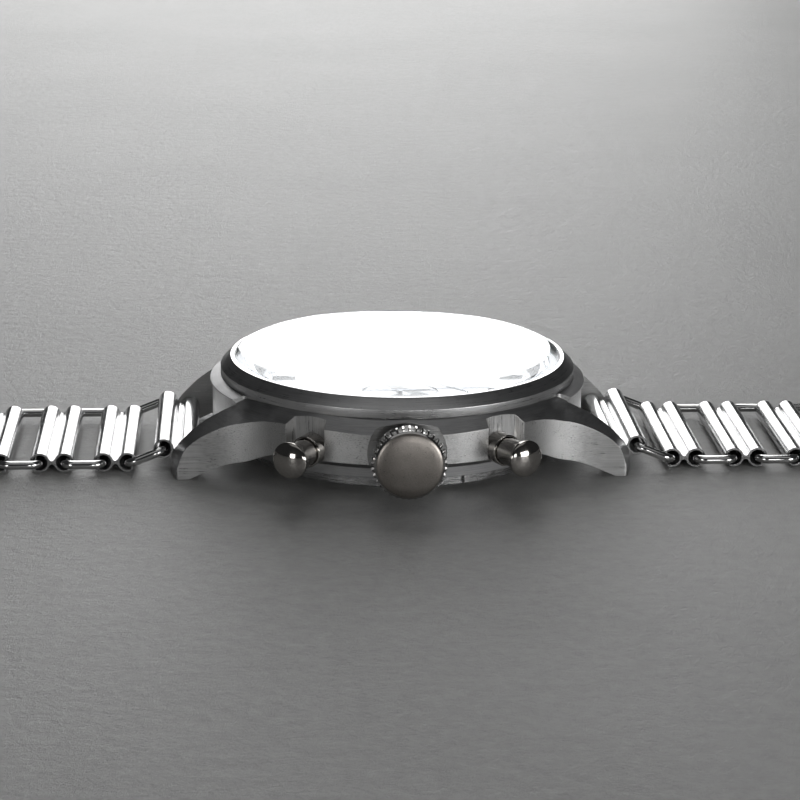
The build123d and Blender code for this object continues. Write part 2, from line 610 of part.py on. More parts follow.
def barrel():
    drum = gear(BARREL_TEETH, BARREL_MODULE, BARREL_GEAR_Z, BARREL_AT, heading(BARREL_AT, (0, 0)))
    drum += cylinder(BARREL_DRUM_R, *BARREL_DRUM_Z, BARREL_AT)
    return drum - cylinder(0.75, 1, BARREL_DRUM_Z[1] + 1, BARREL_AT)


def ratchet_wheel():
    turn = meshing_turn(RATCHET_TEETH, BARREL_AT, CROWN_WHEEL_AT)
    wheel = gear(RATCHET_TEETH, WINDING_MODULE, WINDING_Z, BARREL_AT, turn)
    wheel += cylinder(0.7, BRIDGE_Z[1] + 0.05, WINDING_Z[0], BARREL_AT)
    return wheel + arbor(0.4, BARREL_AT, WINDING_Z[0]) + arbor(0.25, BARREL_AT)


def crown_wheel():
    turn = heading(CROWN_WHEEL_AT, BARREL_AT)
    wheel = gear(CROWN_WHEEL_TEETH, WINDING_MODULE, WINDING_Z, CROWN_WHEEL_AT, turn)
    return crossed(wheel, 4.8, CROWN_WHEEL_AT, 6) + arbor(0.25, CROWN_WHEEL_AT)


def column_wheel():
    platform_z = COLUMN_GEAR_Z[1] + 0.25
    wheel = gear(COLUMN_TEETH, COLUMN_MODULE, COLUMN_GEAR_Z, (0, 0))
    wheel += cylinder(1.1, COLUMN_GEAR_Z[1], platform_z)
    for index in range(COLUMN_COUNT):
        column = box((0.65, 1.25), (-0.3, 0.3), (platform_z, COLUMN_TOP_Z))
        wheel += Rot(0, 0, 360 / COLUMN_COUNT * index) * column
    return Pos(*COLUMN_AT, 0) * (wheel + arbor(0.25, (0, 0)))


def movement_ring():
    ring = tube(CAVITY_R - 0.02, PLATE_R, PLATE_Z[0] - 0.4, DIAL_SEAT_Z)
    return ring - radial(cylinder(STEM_R + 0.15, PLATE_R - 1, CAVITY_R + 1), 0, STEM_Z)


# ---------------------------------------------------------------- crown and pushers

def winding_pinion():
    pinion = gear(WINDING_TEETH, WINDING_MODULE, WINDING_PINION_AT, (0, 0))
    pinion -= cylinder(STEM_R + 0.03, WINDING_PINION_AT[0] - 1, WINDING_PINION_AT[1] + 1)
    return radial(pinion, 0, STEM_Z)


def crown():
    """The knurled head with a slightly domed face, its hollow skirt and the winding stem."""
    back, knurl_end = CROWN_BACK_AT, CROWN_BACK_AT + CROWN_KNURL_LENGTH
    head = gear(CROWN_TEETH, CROWN_MODULE, (back, knurl_end), (0, 0))
    head &= turned([
        (0, back), (CROWN_R - CROWN_CHAMFER, back), (CROWN_R, back + CROWN_CHAMFER),
        (CROWN_R, knurl_end - CROWN_TAPER), (CROWN_FACE_R + 0.1, knurl_end), (0, knurl_end),
    ])
    core = turned([
        (0, CROWN_SKIRT_BACK_AT), (CROWN_SKIRT_R, CROWN_SKIRT_BACK_AT), (CROWN_SKIRT_R, back),
        (CROWN_FACE_R, back), (CROWN_FACE_R + 0.15, knurl_end), *CROWN_FACE,
    ])
    solid = head + core
    solid -= cylinder(CROWN_TUBE_R + RUNNING_GAP, CROWN_SKIRT_BACK_AT - 1, CROWN_TUBE_AT[1] + 0.4)
    return radial(solid + cylinder(STEM_R, STEM_END_AT, back), 0, STEM_Z)


def pusher(side):
    """A shallow mushroom cap on a neck that slides in its collar, with a thin stem into the case."""
    back, rim = PUSHER_CAP_AT
    cap = turned([
        (0, back), (PUSHER_NECK_R, back), (PUSHER_CAP_R - 0.12, back + 0.25), (PUSHER_CAP_R, back + 0.4),
        (PUSHER_CAP_R, rim), (PUSHER_CAP_R - 0.2, rim + 0.23), (0, PUSHER_TIP_AT + 1),
    ])
    cap &= Pos(0, 0, PUSHER_TIP_AT - PUSHER_DOME_R) * Sphere(PUSHER_DOME_R)
    neck = cylinder(PUSHER_NECK_R, PUSHER_STEP_AT, back)
    stem = cylinder(PUSHER_STEM_R, PUSHER_END_AT, PUSHER_STEP_AT)
    return radial(cap + neck + stem, side * PUSHER_ANGLE, PUSHER_Z)


def pusher_tube(side):
    inner, step, front = COLLAR_AT
    bore_r, stem_bore_r = PUSHER_NECK_R + RUNNING_GAP, PUSHER_STEM_R + RUNNING_GAP
    collar = turned([
        (stem_bore_r, inner), (COLLAR_R, inner), (COLLAR_R, front - COLLAR_CHAMFER),
        (COLLAR_R - COLLAR_CHAMFER, front), (bore_r, front), (bore_r, step), (stem_bore_r, step),
    ])
    return radial(collar, side * PUSHER_ANGLE, PUSHER_Z)


def crown_tube():
    return radial(tube(CROWN_TUBE_R, STEM_R + RUNNING_GAP, *CROWN_TUBE_AT), 0, STEM_Z)


def pusher_spring(side):
    """Closed coils of the return spring, at the length they have with the pusher home."""
    first = COLLAR_AT[1] + COIL_WIRE_R + 0.02
    levels = [first + COIL_PITCH * index for index in range(COIL_COUNT)]
    coils = [Pos(0, 0, level) * Torus(COIL_R, COIL_WIRE_R) for level in levels]
    return [radial(coil, side * PUSHER_ANGLE, PUSHER_Z) for coil in coils]


# ---------------------------------------------------------------- bracelet

def link(length):
    """Two rolled tubes joined back to back, centred between them, tube axes along Y."""
    half = TUBE_SPACING / 2
    section = Sketch() + Rectangle(TUBE_SPACING - 2 * TUBE_R + 0.5, 0.5)
    for side in (1, -1):
        seam = Polyline([(0, 0.1), (side * 2, 0.25), (side * 2, -1.1), (side * 0.25, -0.35)], close=True)
        curl = Circle(TUBE_R) - Circle(TUBE_BORE_R) - make_face(seam)
        section += Pos(side * half, 0) * curl
    solid = extrude(section, amount=length / 2, both=True)
    return Rot(90, 0, 0) * solid


def wire_ring(spacing=RING_SPACING):
    """A closed wire ring with its long sides on two parallel hinge axes, centred between them."""
    path = RectangleRounded(spacing, 2 * RING_HALF_LENGTH, RING_CORNER_R).wire()
    start = path.position_at(0)
    section = Plane(origin=start, z_dir=path.tangent_at(0)) * Circle(WIRE_R)
    return sweep(section, path=path)


def placed(solid, start, end):
    """Moves a piece that is centred between two Y axes to lie between these (x, z) points."""
    tilt = degrees(atan2(end[1] - start[1], end[0] - start[0]))
    return Pos((start[0] + end[0]) / 2, 0, (start[1] + end[1]) / 2) * Rot(0, -tilt, 0) * solid


def spring_bar(side):
    bar = cylinder(SPRING_BAR_R, -BAR_BODY_Y, BAR_BODY_Y) + cylinder(BAR_PIVOT_R, -BAR_PIVOT_Y, BAR_PIVOT_Y)
    return Pos(side * SPRING_BAR_X, 0, SPRING_BAR_Z) * Rot(90, 0, 0) * bar


def mirrored(solid, side):
    return solid if side > 0 else mirror(solid, about=Plane.YZ)


def link_axes(index):
    inner = FIRST_TUBE_X + index * LINK_PITCH
    return (inner, TUBE_R), (inner + TUBE_SPACING, TUBE_R)


def ring_before(index):
    outer = link_axes(index)[0]
    inner = RAISED_AXIS if index == 0 else link_axes(index - 1)[1]
    spacing = hypot(outer[0] - inner[0], outer[1] - inner[1])
    return placed(wire_ring(spacing), inner, outer)


def plain_link(index):
    return placed(link(LINK_LENGTH), *link_axes(index))


def clasp_start():
    """X where the clasp plate leaves its rolled end."""
    return link_axes(CLASP_INDEX)[0][0] + TUBE_R


def clasp_pin_at():
    return Pos(clasp_start() + CLASP_PLATE_LENGTH - CLASP_PIN_FROM_END, 0, CLASP_PIN_Z) * Rot(90, 0, 0)


def clasp_plate():
    """The clasp's base plate, rolled into a tube at its inner end and slotted for the hook."""
    axis_x, axis_z = link_axes(CLASP_INDEX)[0]
    start = clasp_start()
    end = start + CLASP_PLATE_LENGTH
    roll = link(LINK_LENGTH) & box((-3, 0.1), (-LINK_LENGTH, LINK_LENGTH), (-3, 3))
    solid = Pos(axis_x + TUBE_SPACING / 2, 0, axis_z) * roll
    solid += box((start, end), (-CLASP_HALF_WIDTH, CLASP_HALF_WIDTH), CLASP_PLATE_Z)
    for low, high in ((-CLASP_HALF_WIDTH, -CLASP_EAR_Y), (CLASP_EAR_Y, CLASP_HALF_WIDTH)):
        solid += box((end - CLASP_EAR_LENGTH, end), (low, high), (CLASP_PLATE_Z[0], CLASP_EAR_TOP_Z))
    pin_hole = cylinder(CLASP_PIN_R + RUNNING_GAP, -CLASP_HALF_WIDTH - 1, CLASP_HALF_WIDTH + 1)
    solid -= clasp_pin_at() * pin_hole
    slot = box((start + SLOT_X[0], start + SLOT_X[1]), (-SLOT_HALF_WIDTH, SLOT_HALF_WIDTH), (0, COVER_Z[0]))
    return solid - slot


def clasp_cover():
    """The folding cover, hinged on its own pin between the plate's ears."""
    start, end = clasp_start() + COVER_START, clasp_start() + CLASP_PLATE_LENGTH - CLASP_PIN_FROM_END
    pin = clasp_pin_at() * cylinder(CLASP_PIN_R, -CLASP_HALF_WIDTH + 0.1, CLASP_HALF_WIDTH - 0.1)
    cover = box((start, end), (-COVER_HALF_WIDTH, COVER_HALF_WIDTH), COVER_Z)
    hook_z = (COVER_Z[0] - 0.3, COVER_Z[0] + 0.1)
    hook = box((start, start + 0.6), (-HOOK_HALF_WIDTH, HOOK_HALF_WIDTH), hook_z)
    return pin + cover + hook


# ---------------------------------------------------------------- everything

def save_watch_head():
    save("case_middle", case_middle())
    save("bezel", bezel())
    save("crystal", crystal())
    save("crystal_gasket", tube(CRYSTAL_R, CRYSTAL_INNER_R, BEZEL_LEDGE_Z, CRYSTAL_BASE_Z))
    save("rehaut_ring", rehaut())
    save("caseback", caseback())
    save("caseback_gasket", tube(*CASEBACK_GASKET_R, CASE_BOTTOM_Z, CASE_BOTTOM_Z + CASEBACK_GASKET_HEIGHT))
    save("dial", dial())
    save("dial_markers", *dial_markers())
    save("hour_hand", hour_hand())
    save("minute_hand", minute_hand())
    save("chrono_seconds_hand", chrono_seconds_hand())
    save("running_seconds_hand", small_hand(0.2, SMALL_SECONDS_HEADING, FOURTH_AT))
    save("minute_counter_hand", minute_counter_hand())
    save("crown", crown())
    save("case_tubes", crown_tube(), pusher_tube(1), pusher_tube(-1))
    save("start_pusher", pusher(1))
    save("reset_pusher", pusher(-1))
    save("pusher_springs", *pusher_spring(1), *pusher_spring(-1))


def save_movement():
    save("movement_ring", movement_ring())
    save("main_plate", main_plate())
    save("train_bridge", train_bridge())
    save("barrel_bridge", barrel_bridge())
    save("balance_cock", balance_cock())
    save("center_wheel", center_wheel())
    save("third_wheel", third_wheel())
    save("fourth_wheel", fourth_wheel())
    save("escape_wheel", escape_wheel())
    save("pallet_fork", pallet_fork())
    save("balance_wheel", balance_wheel())
    save("barrel", barrel())
    save("ratchet_wheel", ratchet_wheel())
    save("crown_wheel", crown_wheel())
    save("column_wheel", column_wheel())
    save("winding_pinion", winding_pinion())


def save_bracelet():
    for name, side in (("12", 1), ("6", -1)):
        save(f"spring_bar_{name}", spring_bar(side))
        save(f"end_link_{name}", mirrored(placed(link(END_LINK_LENGTH), BAR_AXIS, RAISED_AXIS), side))
        for index in range(CLASP_INDEX):
            save(f"ring_{name}_{index + 1}", mirrored(ring_before(index), side))
            save(f"link_{name}_{index + 1}", mirrored(plain_link(index), side))
    save("clasp_ring", ring_before(CLASP_INDEX))
    save("clasp_plate", clasp_plate())
    save("clasp_cover", clasp_cover())
    save("tail_rings_6", *[mirrored(ring_before(index), -1) for index in range(4, 8)])
    save("tail_links_6", *[mirrored(plain_link(index), -1) for index in range(4, 7)])


os.makedirs("parts", exist_ok=True)
save_watch_head()
save_movement()
save_bracelet()
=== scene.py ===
"""Looks for the chronograph wristwatch: meshes, materials, table, light and camera.

Lengths in the shape code are millimetres, turned into metres as each mesh is made.
+X is 12 o'clock, -Y the crown side and +Z out of the dial.
"""
import math

import bmesh
import bpy
from mathutils import Matrix, Vector


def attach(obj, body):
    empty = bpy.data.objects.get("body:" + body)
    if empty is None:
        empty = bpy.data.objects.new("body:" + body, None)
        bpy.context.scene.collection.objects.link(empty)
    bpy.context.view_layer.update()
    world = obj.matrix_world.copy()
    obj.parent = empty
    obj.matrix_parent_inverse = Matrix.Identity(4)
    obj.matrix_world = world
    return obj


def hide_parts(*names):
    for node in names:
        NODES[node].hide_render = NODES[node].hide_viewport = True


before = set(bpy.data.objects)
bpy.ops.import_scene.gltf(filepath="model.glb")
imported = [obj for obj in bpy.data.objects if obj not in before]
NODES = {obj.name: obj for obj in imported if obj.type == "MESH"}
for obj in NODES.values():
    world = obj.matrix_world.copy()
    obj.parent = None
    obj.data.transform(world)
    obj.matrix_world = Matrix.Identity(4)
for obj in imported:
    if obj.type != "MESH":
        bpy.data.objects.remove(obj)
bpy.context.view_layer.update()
MM = 0.001
STEM_Z = 5.1
PUSHER_Z = 4.85
PUSHER_ANGLE = 29.5

scene = bpy.context.scene
scene.view_settings.view_transform = "Standard"


# ---------------------------------------------------------------- node helpers

class Shader:
    """A material with short ways to add and join nodes."""

    def __init__(self, name):
        self.material = bpy.data.materials.new(name)
        self.material.use_nodes = True
        self.tree = self.material.node_tree
        self.tree.nodes.clear()
        self.out = self.add("ShaderNodeOutputMaterial")

    def add(self, kind, inputs=None, **settings):
        node = self.tree.nodes.new(kind)
        for key, value in settings.items():
            setattr(node, key, value)
        for key, value in (inputs or {}).items():
            self.feed(node.inputs[key], value)
        return node

    def feed(self, socket, value):
        if isinstance(value, bpy.types.NodeSocket):
            self.tree.links.new(value, socket)
        else:
            socket.default_value = value

    def math(self, operation, a, b=0.0, clamp=False):
        node = self.add("ShaderNodeMath", {0: a, 1: b}, operation=operation, use_clamp=clamp)
        return node.outputs[0]

    def noise(self, vector, scale, detail=4.0, roughness=0.6):
        node = self.add("ShaderNodeTexNoise", {
            "Vector": vector, "Scale": scale, "Detail": detail, "Roughness": roughness,
        })
        return node.outputs["Fac"]

    def spread(self, value, low, high, from_low=0.3, from_high=0.7):
        node = self.add("ShaderNodeMapRange", {
            "Value": value, "From Min": from_low, "From Max": from_high, "To Min": low, "To Max": high,
        })
        return node.outputs["Result"]

    def tint(self, value, dark, light):
        node = self.add("ShaderNodeMix", {0: value, 6: (*dark, 1.0), 7: (*light, 1.0)}, data_type="RGBA")
        return node.outputs[2]


def place(shader):
    """The object-space position in metres."""
    return shader.add("ShaderNodeTexCoord").outputs["Object"]


def straight_grain(slow, fast, along):
    """Stretched coordinates: slow along one axis and fast across it, in cycles per metre."""
    scale = [fast, fast, fast]
    scale["XYZ".index(along)] = slow

    def coordinates(shader):
        node = shader.add("ShaderNodeMapping", {"Vector": place(shader), "Scale": scale})
        return node.outputs["Vector"]
    return coordinates


def round_grain(slow, fast, plane="XY"):
    """Coordinates that run slowly round the axis and fast across it, for turned brushing."""
    def coordinates(shader):
        split = shader.add("ShaderNodeSeparateXYZ", {"Vector": place(shader)})
        a, b = split.outputs[plane[0]], split.outputs[plane[1]]
        rest = split.outputs[next(c for c in "XYZ" if c not in plane)]
        squares = shader.math("ADD", shader.math("MULTIPLY", a, a), shader.math("MULTIPLY", b, b))
        radius = shader.math("SQRT", squares)
        angle = shader.math("ARCTAN2", b, a)
        polar = shader.add("ShaderNodeCombineXYZ", {
            "X": shader.math("MULTIPLY", radius, fast),
            "Y": shader.math("MULTIPLY", angle, slow),
            "Z": shader.math("MULTIPLY", rest, fast),
        })
        return polar.outputs["Vector"]
    return coordinates


# Noise scales in cycles per metre, and the height of paint's grain in metres.
METAL_DRIFT_SCALE = 260.0
METAL_SMUDGE_SCALE = 900.0
PAINT_DRIFT_SCALE = 360.0
PAINT_GRAIN_SCALE = 5400.0
PAINT_GRAIN_HEIGHT = 0.00002
GLASS_FILM_SCALE = 700.0


def metal(name, grain, dark, light, rough, bump=0.15, aniso=0.0, tangent=None, edge=0.0,
          grain_size=0.00003):
    """Brushed or polished metal: grain in colour, roughness and height, with smudges over it."""
    s = Shader(name)
    coordinates = grain(s)
    fine = s.noise(coordinates, 1.0, 3.0, 0.7)
    wide = s.noise(place(s), METAL_DRIFT_SCALE, 3.0, 0.5)
    smudge = s.noise(place(s), METAL_SMUDGE_SCALE, 5.0, 0.65)
    low, high = rough
    roughness = s.math("ADD", s.spread(fine, low, high), s.spread(smudge, -0.03, 0.04))
    shade = s.math("ADD", s.spread(fine, 0.0, 0.75), s.spread(wide, -0.1, 0.25), clamp=True)
    height = s.add("ShaderNodeBump", {"Height": fine, "Strength": bump, "Distance": grain_size})
    if edge:
        soft = s.add("ShaderNodeBevel", {"Radius": edge}, samples=4)
        s.feed(height.inputs["Normal"], soft.outputs["Normal"])
    body = s.add("ShaderNodeBsdfPrincipled", {
        "Base Color": s.tint(shade, dark, light), "Metallic": 1.0, "Roughness": roughness,
        "Normal": height.outputs["Normal"], "Anisotropic": aniso,
    })
    if tangent:
        turn = s.add("ShaderNodeTangent", direction_type="RADIAL", axis=tangent)
        s.feed(body.inputs["Tangent"], turn.outputs["Tangent"])
    s.feed(s.out.inputs["Surface"], body.outputs["BSDF"])
    return s.material


def plain(name, dark, light, rough, bump=0.05, coat=0.0):
    """Paint, lacquer or rubber with a fine grain and a little variation."""
    s = Shader(name)
    grain = s.noise(place(s), PAINT_GRAIN_SCALE, 5.0, 0.7)
    wide = s.noise(place(s), PAINT_DRIFT_SCALE, 3.0, 0.5)
    height = s.add("ShaderNodeBump", {
        "Height": grain, "Strength": bump, "Distance": PAINT_GRAIN_HEIGHT,
    })
    body = s.add("ShaderNodeBsdfPrincipled", {
        "Base Color": s.tint(s.spread(wide, 0.0, 1.0), dark, light),
        "Roughness": s.spread(grain, *rough), "Normal": height.outputs["Normal"], "Coat Weight": coat,
    })
    s.feed(s.out.inputs["Surface"], body.outputs["BSDF"])
    return s.material


MIRROR_LEAST = 0.05     # the share of light mirrored straight on
MIRROR_POWER = 5.0      # how late the mirror grows as the view gets flatter


def clear_glass(name):
    """Sapphire as a thin clear skin: more of a mirror the flatter it is seen, clear straight on."""
    s = Shader(name)
    film = s.noise(place(s), GLASS_FILM_SCALE, 4.0, 0.6)
    facing = s.add("ShaderNodeLayerWeight", {"Blend": 0.5}).outputs["Facing"]
    growth = s.math("MULTIPLY", s.math("POWER", facing, MIRROR_POWER), 1.0 - MIRROR_LEAST)
    mirror = s.math("ADD", growth, MIRROR_LEAST)
    clear = s.add("ShaderNodeBsdfTransparent", {"Color": (0.97, 0.98, 0.99, 1.0)})
    gloss = s.add("ShaderNodeBsdfGlossy", {
        "Color": (1.0, 1.0, 1.0, 1.0), "Roughness": s.spread(film, 0.0, 0.02),
    })
    both = s.add("ShaderNodeMixShader", {0: mirror, 1: clear.outputs["BSDF"], 2: gloss.outputs["BSDF"]})
    s.feed(s.out.inputs["Surface"], both.outputs["Shader"])
    return s.material


# ---------------------------------------------------------------- materials

CASE_BRUSHED = metal(
    "case_brushed", round_grain(3.0, 15000.0), (0.26, 0.26, 0.265), (0.45, 0.45, 0.45),
    (0.32, 0.46), bump=0.14, aniso=0.5, tangent="Z", edge=0.00009)
FLANK_BRUSHED = metal(
    "flank_brushed", straight_grain(130.0, 15000.0, "X"), (0.35, 0.35, 0.35), (0.61, 0.61, 0.605),
    (0.24, 0.42), bump=0.35, edge=0.00007)
BAY_BRUSHED = metal(
    "bay_brushed", straight_grain(250.0, 13000.0, "Z"), (0.37, 0.37, 0.37), (0.64, 0.64, 0.635),
    (0.24, 0.40), bump=0.35, edge=0.00007)
BEZEL_BRUSHED = metal(
    "bezel_brushed", round_grain(3.0, 14000.0), (0.40, 0.40, 0.405), (0.62, 0.62, 0.62),
    (0.26, 0.36), bump=0.10, aniso=0.5, tangent="Z")
BEZEL_POLISHED = metal(
    "bezel_polished", round_grain(3.0, 12000.0), (0.62, 0.62, 0.62), (0.72, 0.72, 0.72),
    (0.05, 0.10), bump=0.04)
# The crown's face: grained steel whose dark, warm colour, darker than the rest of the crown, is painted
# shade.
CROWN_FACE_SHADED = metal(
    "crown_face_painted_shade", straight_grain(9000.0, 15000.0, "X"), (0.19, 0.175, 0.16), (0.34, 0.315, 0.29),
    (0.26, 0.40), bump=0.35, grain_size=0.00002)
CROWN_POLISHED = metal(
    "crown_polished", round_grain(5.0, 14000.0, "XZ"), (0.50, 0.49, 0.48), (0.66, 0.65, 0.63),
    (0.08, 0.16), bump=0.08)
PUSHER_POLISHED = metal(
    "pusher_polished", straight_grain(5000.0, 7000.0, "Z"), (0.38, 0.36, 0.34), (0.52, 0.50, 0.47),
    (0.05, 0.11), bump=0.04)
TUBE_STEEL = metal(
    "tube_steel", straight_grain(300.0, 16000.0, "Y"), (0.46, 0.46, 0.465), (0.66, 0.66, 0.66),
    (0.14, 0.26), bump=0.16)
# The tubes' inner skins: rougher steel whose near-black colour is painted shade inside the rolled tubes.
TUBE_INSIDE_SHADE = metal(
    "tube_inside_painted_shade", straight_grain(900.0, 9000.0, "Y"), (0.07, 0.07, 0.07), (0.20, 0.20, 0.20),
    (0.40, 0.62), bump=0.3)
WIRE_STEEL = metal(
    "wire_steel", straight_grain(700.0, 9000.0, "Y"), (0.55, 0.55, 0.55), (0.72, 0.72, 0.71),
    (0.07, 0.15), bump=0.06)
PLATE_STEEL = metal(
    "plate_steel", straight_grain(350.0, 20000.0, "X"), (0.34, 0.34, 0.34), (0.52, 0.52, 0.52),
    (0.22, 0.36), bump=0.2, edge=0.00012)
CASEBACK_STEEL = metal(
    "caseback_steel", round_grain(7.0, 22000.0), (0.36, 0.36, 0.36), (0.52, 0.52, 0.52),
    (0.18, 0.32), bump=0.2, aniso=0.5, tangent="Z", edge=0.0001)
NICKEL = metal(
    "movement_nickel", straight_grain(900.0, 1500.0, "X"), (0.52, 0.51, 0.48), (0.66, 0.65, 0.62),
    (0.18, 0.32), bump=0.2)
BRASS = metal(
    "gear_brass", round_grain(12.0, 9000.0), (0.55, 0.40, 0.17), (0.72, 0.55, 0.27),
    (0.18, 0.30), bump=0.1)
WORKS_STEEL = metal(
    "works_steel", straight_grain(2500.0, 12000.0, "Y"), (0.42, 0.42, 0.43), (0.58, 0.58, 0.59),
    (0.16, 0.30), bump=0.1)
HAND_STEEL = metal(
    "hand_steel", straight_grain(6000.0, 9000.0, "X"), (0.09, 0.10, 0.12), (0.16, 0.17, 0.19),
    (0.10, 0.18), bump=0.05)
MARKER_STEEL = metal(
    "marker_steel", straight_grain(8000.0, 9000.0, "X"), (0.36, 0.36, 0.37), (0.50, 0.50, 0.51),
    (0.08, 0.15), bump=0.04)
BLUED_STEEL = metal(
    "blued_steel", straight_grain(7000.0, 9000.0, "X"), (0.02, 0.05, 0.20), (0.05, 0.11, 0.38),
    (0.12, 0.20), bump=0.05)
REHAUT_METAL = metal(
    "rehaut_metal", round_grain(8.0, 16000.0), (0.66, 0.66, 0.65), (0.80, 0.80, 0.79),
    (0.20, 0.32), bump=0.1)
DIAL_LACQUER = plain("dial_lacquer", (0.80, 0.79, 0.76), (0.88, 0.87, 0.84), (0.30, 0.42), coat=1.0)
DIAL_INK = plain("dial_ink", (0.03, 0.03, 0.035), (0.06, 0.06, 0.065), (0.40, 0.55))
NYLON = plain("gasket_nylon", (0.74, 0.74, 0.72), (0.84, 0.84, 0.82), (0.35, 0.50))
RUBBER = plain("gasket_rubber", (0.02, 0.02, 0.02), (0.05, 0.05, 0.05), (0.55, 0.75), bump=0.3)
GLASS = clear_glass("crystal_glass")


def finish_node(material, *names):
    """Gives kept CAD nodes their material."""
    for name in names:
        slots = NODES[name].data.materials
        slots.clear()
        slots.append(material)


# ---------------------------------------------------------------- mesh helpers

WELD_DISTANCE = 1e-8


def millimetres(point):
    return [value / MM for value in point]


def piece(name, verts, faces, material, body, slot, replaced=(), smooth_angle=35.0):
    """Makes one object from vertices in millimetres, smooth-shaded up to an angle."""
    mesh = bpy.data.meshes.new(name)
    mesh.from_pydata([Vector(v) * MM for v in verts], [], faces)
    work = bmesh.new()
    work.from_mesh(mesh)
    bmesh.ops.remove_doubles(work, verts=work.verts, dist=WELD_DISTANCE)
    bmesh.ops.recalc_face_normals(work, faces=work.faces)
    work.to_mesh(mesh)
    work.free()
    mesh.materials.append(material)
    mesh.shade_smooth()
    mesh.set_sharp_from_angle(angle=math.radians(smooth_angle))
    made = bpy.data.objects.new(name, mesh)
    scene.collection.objects.link(made)
    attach(made, body)
    if replaced:
        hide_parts(*replaced)
    return made


CORNER_STEPS = 4


def rounded(points, radius):
    """A closed outline with each corner turned into an arc, at most 45 % of the sides next to it."""
    share = 0.45
    made = []
    count = len(points)
    for index in range(count):
        before, here, after = (Vector(points[(index + k) % count]) for k in (-1, 0, 1))
        a, b = before - here, after - here
        reach = min(radius, a.length * share, b.length * share)
        start, end = here + a.normalized() * reach, here + b.normalized() * reach
        for step in range(CORNER_STEPS + 1):
            t = step / CORNER_STEPS
            made.append(start * (1 - t) ** 2 + here * 2 * t * (1 - t) + end * t * t)
    return made


def lathe(outline, segments):
    """Turns a closed outline of (radius, height) round an axis into vertices and faces."""
    verts, faces = [], []
    count = len(outline)
    for index in range(segments):
        angle = 2 * math.pi * index / segments
        c, s = math.cos(angle), math.sin(angle)
        verts += [(p[0] * c, p[0] * s, p[1]) for p in outline]
    for index in range(segments):
        following = (index + 1) % segments
        for k in range(count):
            n = (k + 1) % count
            faces.append((index * count + k, following * count + k, following * count + n, index * count + n))
    return verts, faces


def moved(verts, matrix):
    return [matrix @ Vector(v) for v in verts]


def joined(*shapes):
    """Several (verts, faces) shapes as one."""
    verts, faces = [], []
    for more_verts, more_faces in shapes:
        base = len(verts)
        verts += list(more_verts)
        faces += [tuple(i + base for i in f) for f in more_faces]
    return verts, faces


# ---------------------------------------------------------------- case

# Limits, in millimetres, of the differently brushed parts of the case.
UPRIGHT_NORMAL_Z = 0.25
FLANK_INNER_R = 19.0
FLANK_LOW_Z = 3.6
LUG_FROM_X = 13.0
BAY_R = 20.3
BAY_OUT = (18.0, 21.4)
BAY_ACROSS = (-1.75, 4.6)


def in_bay(x, y):
    """Whether a point is inside the bay round one of the pushers, seen from above."""
    for side in (1, -1):
        angle = math.radians(side * PUSHER_ANGLE)
        out = x * math.sin(angle) - y * math.cos(angle)
        across = side * (x * math.cos(angle) + y * math.sin(angle))
        if BAY_OUT[0] < out < BAY_OUT[1] and BAY_ACROSS[0] < across < BAY_ACROSS[1]:
            return True
    return False


def make_case():
    """Lays turned brushing, straight flank brushing and the bays' upright brushing on the case."""
    mesh = NODES["case_middle"].data
    mesh.materials.clear()
    for material in (CASE_BRUSHED, FLANK_BRUSHED, BAY_BRUSHED):
        mesh.materials.append(material)
    for face in mesh.polygons:
        x, y, z = millimetres(face.center)
        radius = math.hypot(x, y)
        upright = abs(face.normal.z) < UPRIGHT_NORMAL_Z
        if upright and radius < BAY_R and z > FLANK_LOW_Z and in_bay(x, y):
            face.material_index = 2
        elif upright and radius > FLANK_INNER_R and (z > FLANK_LOW_Z or abs(x) > LUG_FROM_X):
            face.material_index = 1
        else:
            face.material_index = 0


def make_bezel():
    """A ring with a coned top, a narrow polished lip and a ledge that the crystal's rim sits over."""
    outer_r, cone_top_r, lip_r, seat_r, bore_r = 19.60, 18.49, 18.07, 18.04, 16.46
    bottom_z, cone_z, cone_top_z, lip_z = 8.62, 9.56, 10.66, 10.68
    ledge_z, ledge_bottom_z = 9.95, 9.54
    polished_r, polished_z = 18.47, 9.9
    outline = [
        (seat_r, bottom_z), (outer_r, bottom_z), (outer_r, cone_z), (cone_top_r, cone_top_z),
        (lip_r, lip_z), (lip_r, ledge_z), (bore_r, ledge_z), (bore_r, ledge_bottom_z),
        (seat_r, ledge_bottom_z),
    ]
    ring = piece("bezel_ring", *lathe(rounded(outline, 0.05), 384), BEZEL_BRUSHED, "case",
                 "brushed_steel", ("bezel",))
    ring.data.materials.append(BEZEL_POLISHED)
    for face in ring.data.polygons:
        x, y, z = millimetres(face.center)
        if math.hypot(x, y) < polished_r and z > polished_z:
            face.material_index = 1


CRYSTAL_RIM_Z = 10.06


def crystal_skin(wall_r, shoulder_r, shoulder_z, height, top_z):
    """One skin of the box dome's section: a rounded wall, then a part of a large sphere."""
    wall_steps, dome_steps = 12, 24
    rise = top_z - shoulder_z
    sphere_r = (shoulder_r ** 2 + rise ** 2) / (2 * rise)
    slope = math.asin(shoulder_r / sphere_r)
    start, end = Vector((wall_r, shoulder_z - height)), Vector((shoulder_r, shoulder_z))
    lift = start + Vector((0, height * 0.5))
    pull = end + Vector((math.cos(slope), -math.sin(slope))) * (wall_r - shoulder_r) * 0.5
    points = [Vector((wall_r, CRYSTAL_RIM_Z))]
    for step in range(wall_steps + 1):
        t = step / wall_steps
        points.append(start * (1 - t) ** 3 + lift * 3 * t * (1 - t) ** 2 + pull * 3 * t * t * (1 - t)
                      + end * t ** 3)
    for step in range(dome_steps - 1, -1, -1):
        angle = slope * step / dome_steps
        points.append(Vector((sphere_r * math.sin(angle), top_z - sphere_r * (1 - math.cos(angle)))))
    return points


